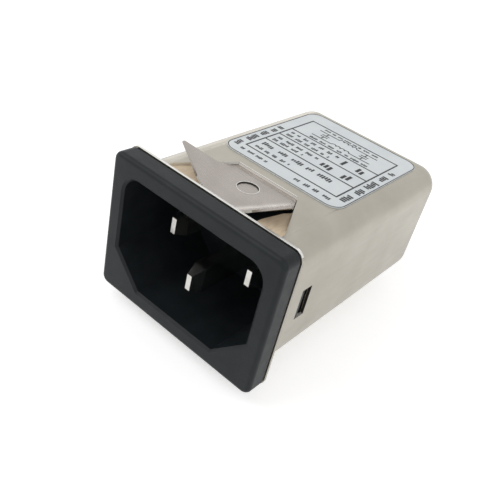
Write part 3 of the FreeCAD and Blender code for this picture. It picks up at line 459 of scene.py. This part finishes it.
def add_object(name, data, finishes):
    """Object with one material slot for each finish."""
    data.name = name
    data.materials.clear()
    for finish in finishes:
        data.materials.append(finish)
    piece = bpy.data.objects.new(name, data)
    bpy.context.scene.collection.objects.link(piece)
    return piece


def add_piece(name, data, finish):
    """Piece of one finish that belongs to the module."""
    piece = add_object(name, data, [finish])
    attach(piece, "root")


# Pieces cut from sheet, which stand for plainer nodes

SHARP_ANGLE = math.radians(28.0)
# the finishes of such a piece, by their place
SHEET_FACE = 0
# the bright cut finish is partly the bare steel, partly a painted highlight
CUT_EDGE_AND_HIGHLIGHT = 1
# the dark wall finish is painted shade
PAINTED_SHADE = 2
# a wall stands across the sheet: its normal leans out of the sheet's plane by less than this
WALL_LEAN = 0.3
# a face looks one way when its normal has more than this along it
FACING = 0.5


def add_sheet_piece(name, data, finishes, choose, node):
    """Piece that stands for a node; choose gives each face its place in the finishes."""
    piece = add_object(name, data, finishes)
    for face in data.polygons:
        face.material_index = choose(face.center / MM, face.normal)
    data.shade_smooth()
    data.set_sharp_from_angle(angle=SHARP_ANGLE)
    # flat faces stay flat in the light beside the rounded ones
    normals = piece.modifiers.new("normals", "WEIGHTED_NORMAL")
    normals.keep_sharp = True
    normals.weight = 100
    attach(piece, "root")
    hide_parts(node)


CAN_SIDE = 13.75
CAN_FACE = 9.75
CAN_SHEET = 0.4
MERGE_DISTANCE = 0.001
# The window starts behind the panel, its sides follow the wings, and it ends behind them.
WINDOW_FRONT = 1.75
WINDOW_BEND = 2.73
WINDOW_BACK = 11.52
WINDOW_HALF_WIDTH = 9.92
WINDOW_BACK_HALF_WIDTH = 5.42
WINDOW_CUT_LOW = 9.0
WINDOW_CUT_HIGH = 10.4
WINDOW = mirrored([
    (WINDOW_HALF_WIDTH, WINDOW_FRONT),
    (WINDOW_HALF_WIDTH, WINDOW_BEND),
    (WINDOW_BACK_HALF_WIDTH, WINDOW_BACK),
])
# burr along the window's rear edge; its bright cut finish is partly a painted highlight
BURR_INSET = 0.15
BURR_WIDTH = 0.13
BURR_HEIGHT = 0.04
# latch slots in both sides
SLOT_FRONT = 4.6
SLOT_BACK = 6.7
SLOT_HALF_HEIGHT = 2.5
FLANGE_HALF_WIDTH = 14.85
FLANGE_HALF_HEIGHT = 11.2
RIM_DEPTH = 0.5
# room for rounding where a face is looked up by its place
MARGIN = 0.15


def within(value, low, high):
    return low - MARGIN < value < high + MARGIN


def cut_face_of_can(place, normal):
    """Cut walls and the flange's upper rim are bright, partly with a painted highlight; the slots' rear
    walls are dark with painted shade.
    """
    across, height = abs(place.x), abs(place.z)
    in_window = (
        within(across, 0.0, WINDOW_HALF_WIDTH)
        and within(place.y, WINDOW_FRONT, WINDOW_BACK)
        and within(height, CAN_FACE - CAN_SHEET, CAN_FACE)
    )
    in_slot = (
        within(across, CAN_SIDE - CAN_SHEET, CAN_SIDE)
        and within(place.y, SLOT_FRONT, SLOT_BACK)
        and within(height, 0.0, SLOT_HALF_HEIGHT)
    )
    on_rim = across > FLANGE_HALF_WIDTH - RIM_DEPTH or height > FLANGE_HALF_HEIGHT - RIM_DEPTH
    if in_window and abs(normal.z) < WALL_LEAN:
        return CUT_EDGE_AND_HIGHLIGHT
    # in the slots: painted shade on the rear wall, the bright cut finish with its painted highlight on
    # the others
    if in_slot and abs(normal.x) < WALL_LEAN:
        return PAINTED_SHADE if normal.y < -FACING else CUT_EDGE_AND_HIGHLIGHT
    # painted highlight: only the flange rim's upward faces get the bright cut finish
    if on_rim and normal.z > FACING:
        return CUT_EDGE_AND_HIGHLIGHT
    return SHEET_FACE


def build_can(steel, edge, painted_shade):
    """The can's own mesh with both windows cut further forward, and a burr along each rear edge."""
    mesh = bmesh.new()
    mesh.from_mesh(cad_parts["shield_can"].data)
    bmesh.ops.remove_doubles(mesh, verts=mesh.verts, dist=MERGE_DISTANCE * MM)
    data = bpy.data.meshes.new("can")
    mesh.to_mesh(data)
    mesh.free()
    data = carve(data, [
        prism_data(WINDOW, WINDOW_CUT_LOW, WINDOW_CUT_HIGH),
        prism_data(WINDOW, -WINDOW_CUT_HIGH, -WINDOW_CUT_LOW),
    ])
    add_sheet_piece("can_with_windows", data, (steel, edge, painted_shade), cut_face_of_can, "shield_can")
    # the burrs take the bright cut finish, partly a painted highlight
    half = WINDOW_BACK_HALF_WIDTH - BURR_INSET
    burr = mirrored([(half, WINDOW_BACK), (half, WINDOW_BACK + BURR_WIDTH)])
    for name, face in (("top", CAN_FACE), ("bottom", -CAN_FACE)):
        add_piece("window_burr_" + name, prism_data(burr, face - BURR_HEIGHT, face + BURR_HEIGHT), edge)


# Leaf of the snap spring: a flat strip, and on each side a wing bent up along a slanted line
LEAF_BASE = 9.03
LEAF_THICKNESS = 0.3
LEAF_FACE = LEAF_BASE + LEAF_THICKNESS
LEAF_FRONT = 2.05
LEAF_HALF_OUTLINE = [(4.9, LEAF_FRONT), (9.29, 3.2), (9.31, 3.55), (5.38, 11.4), (5.38, 13.4)]
# half distance between the bends at the front, and its gain per millimetre to the rear
BEND_START = 1.095
BEND_SLOPE = 0.4596
BEND_RADIUS = 5.0
BEND_STEPS = 10
WING_ANGLE = math.radians(38.0)
BEND_RUN = BEND_RADIUS * math.sin(WING_ANGLE)
DIMPLE_PLACE = (-0.4, 7.83)
DIMPLE_RADIUS = 1.56
DIMPLE_DEPTH = 0.17
DIMPLE_CUT_HEIGHT = 1.0
# raised lip round the dimple; its bright cut finish is partly a painted highlight
LIP_WIDTH = 0.09
LIP_BELOW_FACE = 0.02
LIP_ABOVE_FACE = 0.03


def leaf_layers(x, y):
    """Lower and upper point of the bent leaf, from a place in its plan."""
    length = math.hypot(1.0, BEND_SLOPE)
    distance = (abs(x) - BEND_START - BEND_SLOPE * (y - LEAF_FRONT)) / length
    turn = math.asin(min(max(distance, 0.0), BEND_RUN) / BEND_RADIUS)
    rise = BEND_RADIUS * (1.0 - math.cos(turn)) + max(distance - BEND_RUN, 0.0) * math.tan(turn)
    outward = Vector((math.copysign(1.0, x), -BEND_SLOPE, 0.0)) / length
    normal = Vector((0.0, 0.0, math.cos(turn))) - outward * math.sin(turn)
    low = Vector((x, y, LEAF_BASE + rise))
    return low, low + normal * LEAF_THICKNESS


def leaf_plan():
    """Flat outline of the leaf, divided by lines along both bends."""
    plan = bmesh.new()
    plan.faces.new([plan.verts.new((x, y, 0.0)) for x, y in mirrored(LEAF_HALF_OUTLINE)])
    for step in range(BEND_STEPS + 1):
        for way in (-1.0, 1.0):
            across = Vector((way, -BEND_SLOPE, 0.0)).normalized()
            place = Vector((way * BEND_START, LEAF_FRONT, 0.0)) + across * BEND_RUN * step / BEND_STEPS
            everything = plan.verts[:] + plan.edges[:] + plan.faces[:]
            bmesh.ops.bisect_plane(plan, geom=everything, plane_co=place, plane_no=across)
    return plan


def leaf_data():
    """Bent leaf with its dimple cut in."""
    plan = leaf_plan()
    mesh = bmesh.new()
    low, high = {}, {}
    for vert in plan.verts:
        lower, upper = leaf_layers(vert.co.x, vert.co.y)
        low[vert] = mesh.verts.new(lower * MM)
        high[vert] = mesh.verts.new(upper * MM)
    for face in plan.faces:
        mesh.faces.new([high[vert] for vert in face.verts])
        mesh.faces.new([low[vert] for vert in reversed(face.verts)])
    for edge in plan.edges:
        if edge.is_boundary:
            a, b = edge.verts
            mesh.faces.new((low[a], low[b], high[b], high[a]))
    plan.free()
    dimple = circle(DIMPLE_PLACE, DIMPLE_RADIUS)
    cutter = prism_data(dimple, LEAF_FACE - DIMPLE_DEPTH, LEAF_FACE + DIMPLE_CUT_HEIGHT)
    return carve(mesh_data(mesh, "leaf"), [cutter])


def cut_face_of_leaf(place, normal):
    """The strip's edges are bright, partly with a painted highlight; the wall of the dimple is dark with
    painted shade.
    """
    if abs(normal.z) > WALL_LEAN:
        return SHEET_FACE
    way = 1.0 if place.z > 0.0 else -1.0
    x, y = DIMPLE_PLACE
    if math.hypot(place.x - way * x, place.y - y) < DIMPLE_RADIUS + MARGIN:
        return PAINTED_SHADE
    return CUT_EDGE_AND_HIGHLIGHT


def build_springs(spring, edge, painted_shade):
    """Top leaf, and the same one turned half round for the underside."""
    for node, turn in (("snap_spring_top", 0.0), ("snap_spring_bottom", math.pi)):
        spin = Matrix.Rotation(turn, 4, "Y")
        data = leaf_data()
        data.transform(spin)
        add_sheet_piece(node + "_leaf", data, (spring, edge, painted_shade), cut_face_of_leaf, node)
        # the lip takes the bright cut finish, partly a painted highlight
        low, high = LEAF_FACE - LIP_BELOW_FACE, LEAF_FACE + LIP_ABOVE_FACE
        lip = ring_data(DIMPLE_PLACE, DIMPLE_RADIUS, DIMPLE_RADIUS + LIP_WIDTH, low, high)
        lip.transform(spin)
        add_piece(node + "_dimple_lip", lip, edge)


# Tan liner card reaching on under the wings, the left piece further: it paints the can's warm reflection
# seen there. Seen from above, in millimetres from the middle. The underside has the same pair turned half
# round.
CARD_FRONT = 1.0
CARD_OUTER = 7.62
CARD_BACK = 9.5
CARD_PLAN_LEFT = [
    (3.6, CARD_FRONT), (CARD_OUTER, CARD_FRONT), (CARD_OUTER, CARD_BACK), (5.6, 7.0), (3.6, 2.6)]
CARD_PLAN_RIGHT = [
    (5.6, CARD_FRONT), (CARD_OUTER, CARD_FRONT), (CARD_OUTER, CARD_BACK), (6.4, 7.0), (5.6, 3.4)]
CARD_LOW = 9.13
CARD_HIGH = 9.33


# tan card under the wings, a painted reflection of the can
def build_reflection_cards(card_and_reflection):
    for name, way in (("left", -1.0), ("right", 1.0)):
        for level, sign in (("top", 1.0), ("bottom", -1.0)):
            plan = CARD_PLAN_RIGHT if way * sign > 0.0 else CARD_PLAN_LEFT
            points = [(way * x, y) for x, y in plan]
            heights = sorted((sign * CARD_LOW, sign * CARD_HIGH))
            add_piece("reflection_card_" + level + "_" + name, prism_data(points, *heights), card_and_reflection)


# Print on the label: lines, plain strokes in place of words, and a small diagram

PRINT_THICKNESS = 0.03
label_low, label_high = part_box("rating_label")
PRINT_LOW = label_high.z / MM
PRINT_HIGH = PRINT_LOW + PRINT_THICKNESS


def add_bar(mesh, x_low, x_high, y_low, y_high):
    points = [(x_low, y_low), (x_high, y_low), (x_high, y_high), (x_low, y_high)]
    add_prism(mesh, points, PRINT_LOW, PRINT_HIGH)


def add_line(mesh, start, end, width):
    """Straight stroke between two places."""
    a, b = Vector(start), Vector(end)
    run = (b - a).normalized()
    side = Vector((-run.y, run.x)) * width / 2
    points = [tuple(corner) for corner in (a - side, b - side, b + side, a + side)]
    add_prism(mesh, points, PRINT_LOW, PRINT_HIGH)


# printed frame on the label, with lines across it
FRAME_HALF = 8.37
FRAME_FRONT = 16.6
FRAME_BACK = 34.4
LINE_WIDTH = 0.22
DIVISIONS = (21.2, 24.8, 28.3)


def print_frame(ink_and_edge_shadow):
    mesh = bmesh.new()
    half = LINE_WIDTH / 2
    for y in (FRAME_FRONT, *DIVISIONS, FRAME_BACK):
        add_bar(mesh, -FRAME_HALF + half, FRAME_HALF - half, y - half, y + half)
    for x in (-FRAME_HALF, FRAME_HALF):
        add_bar(mesh, x - half, x + half, FRAME_FRONT - half, FRAME_BACK + half)
    add_piece("label_frame", mesh_data(mesh, "label_frame"), ink_and_edge_shadow)


# Words are close upright strokes of uneven height; up to WORD_GAP, these are shares of that height.
WORD_SEED = 5
STROKE_WIDTH = 0.25
STROKE_STEP = 0.38
STROKE_LOW = (0.0, 0.25)
STROKE_HIGH = (0.7, 1.0)
WORD_GAP = 0.6
# shortest and longest word, as shares of the usual length
WORD_LENGTHS = (0.6, 1.3)
# Rows of words along X: start, end, front edge, height, usual length of a word
INNER_ROWS = [
    (-7.4, -0.6, 17.3, 0.75, 1.4),
    (-7.4, 6.8, 19.0, 1.1, 2.3),
    (1.4, 7.7, 21.8, 1.9, 2.8),
    (-7.5, -1.4, 21.8, 0.8, 1.4),
    (-7.5, 0.6, 23.1, 0.8, 1.2),
    (-7.5, 1.2, 25.3, 0.8, 1.3),
    (-7.5, 2.0, 26.7, 0.8, 1.1),
    (3.0, 7.7, 25.4, 1.9, 1.9),
    (-5.2, 6.4, 28.7, 0.6, 1.3),
    (-5.2, 5.4, 33.3, 0.5, 1.1),
]
FRONT_ROWS = [
    (-8.2, -2.6, 14.9, 0.65, 1.0),
    (2.0, 8.4, 14.75, 0.85, 1.2),
]
# Rows along Y beside the frame: start, end, left edge, height, usual length of a word
SIDE_ROWS = [
    (15.4, 27.4, -10.0, 1.15, 2.2),
    (16.4, 31.6, 8.9, 1.3, 2.6),
]


def add_word(mesh, draw, place, length, height, along_y):
    stroke = height * STROKE_WIDTH
    step = height * STROKE_STEP
    x, y = place
    for i in range(max(int(length / step), 1)):
        start = i * step
        low = draw.uniform(*STROKE_LOW) * height
        high = draw.uniform(*STROKE_HIGH) * height
        if along_y:
            add_bar(mesh, x + low, x + high, y + start, y + start + stroke)
        else:
            add_bar(mesh, x + start, x + start + stroke, y + low, y + high)


def add_row(mesh, draw, row, along_y=False):
    """Words from start to end along X, or along Y, that begin at that place across it."""
    start, end, across, height, word = row
    run = start
    while run < end - word / 3:
        length = min(word * draw.uniform(*WORD_LENGTHS), end - run)
        place = (across, run) if along_y else (run, across)
        add_word(mesh, draw, place, length, height, along_y)
        run += length + height * WORD_GAP


def print_words(ink_and_edge_shadow):
    draw = random.Random(WORD_SEED)
    mesh = bmesh.new()
    for row in INNER_ROWS:
        add_row(mesh, draw, row)
    for row in SIDE_ROWS:
        add_row(mesh, draw, row, along_y=True)
    for row in FRONT_ROWS:
        add_row(mesh, draw, row)
    add_piece("label_words", mesh_data(mesh, "label_words"), ink_and_edge_shadow)


# radius of the label's corners, and the painted shadow line along its edge
LABEL_CORNER = 2.2
EDGE_SHADOW_WIDTH = 0.12
ARC_STEPS = 8


def paint_label_edge_shadow(ink_and_edge_shadow):
    """Painted shadow: a thin dark line that follows the label's rounded outline."""
    mesh = bmesh.new()
    width = EDGE_SHADOW_WIDTH
    corner = LABEL_CORNER - width
    half = label_high.x / MM - width
    front, back = label_low.y / MM + width, label_high.y / MM - width
    # centre of each corner, and the quarter turn at which its arc starts
    centres = [
        (half - corner, back - corner, 0),
        (corner - half, back - corner, 1),
        (corner - half, front + corner, 2),
        (half - corner, front + corner, 3),
    ]
    path = [
        (x + corner * math.cos(math.pi / 2 * (quarter + step / ARC_STEPS)),
         y + corner * math.sin(math.pi / 2 * (quarter + step / ARC_STEPS)))
        for x, y, quarter in centres
        for step in range(ARC_STEPS + 1)
    ]
    for first, second in zip(path, path[1:] + path[:1]):
        add_line(mesh, first, second, width)
    add_piece("label_edge_shadow", mesh_data(mesh, "label_edge_shadow"), ink_and_edge_shadow)


def print_diagram(ink_and_edge_shadow):
    """Generic filter: a coil in each of two rails, and two bridges with a pair of plates between them."""
    mesh = bmesh.new()
    width = 0.16
    bumps = 4
    bump_radius = 0.42
    rails = (30.1, 32.6)
    start, end = -5.6, 5.6
    bridges = (-3.8, 3.8)
    gap = 0.3
    plate_half = 0.7
    middle = sum(rails) / 2
    coil_half = bumps * bump_radius
    for y in rails:
        add_line(mesh, (start, y), (-coil_half, y), width)
        add_line(mesh, (coil_half, y), (end, y), width)
        for i in range(bumps):
            centre = -coil_half + bump_radius * (2 * i + 1)
            arc = [
                (centre - bump_radius * math.cos(math.pi * step / ARC_STEPS),
                 y + bump_radius * math.sin(math.pi * step / ARC_STEPS))
                for step in range(ARC_STEPS + 1)
            ]
            for first, second in zip(arc, arc[1:]):
                add_line(mesh, first, second, width)
    for x in bridges:
        add_line(mesh, (x, rails[0]), (x, middle - gap), width)
        add_line(mesh, (x, middle + gap), (x, rails[1]), width)
        for y in (middle - gap, middle + gap):
            add_line(mesh, (x - plate_half, y), (x + plate_half, y), width)
    add_piece("label_diagram", mesh_data(mesh, "label_diagram"), ink_and_edge_shadow)


add_camera()
light_world()
add_floor()
for lamp_name, lamp_values in LAMPS.items():
    add_lamp(lamp_name, *lamp_values)
steel = can_metal()
spring = spring_metal()
# bright cut finish: partly bare steel, partly a painted highlight
cut_edge_and_highlight = cut_metal_and_highlight()
# near-black painted shade for the walls of the dimples and slots
painted_shade_finish = painted_shade_metal()
# tan card; under the wings it paints the can's warm reflection
card_and_reflection = fibre_card_and_reflection()
dress_nodes(steel, spring, card_and_reflection)
build_can(steel, cut_edge_and_highlight, painted_shade_finish)
build_springs(spring, cut_edge_and_highlight, painted_shade_finish)
build_reflection_cards(card_and_reflection)
# ink for the print, and for the painted shadow along the label's edge
ink_and_edge_shadow = print_ink_and_edge_shadow()
print_frame(ink_and_edge_shadow)
paint_label_edge_shadow(ink_and_edge_shadow)
print_words(ink_and_edge_shadow)
print_diagram(ink_and_edge_shadow)

bpy.context.scene.view_settings.view_transform = "Standard"
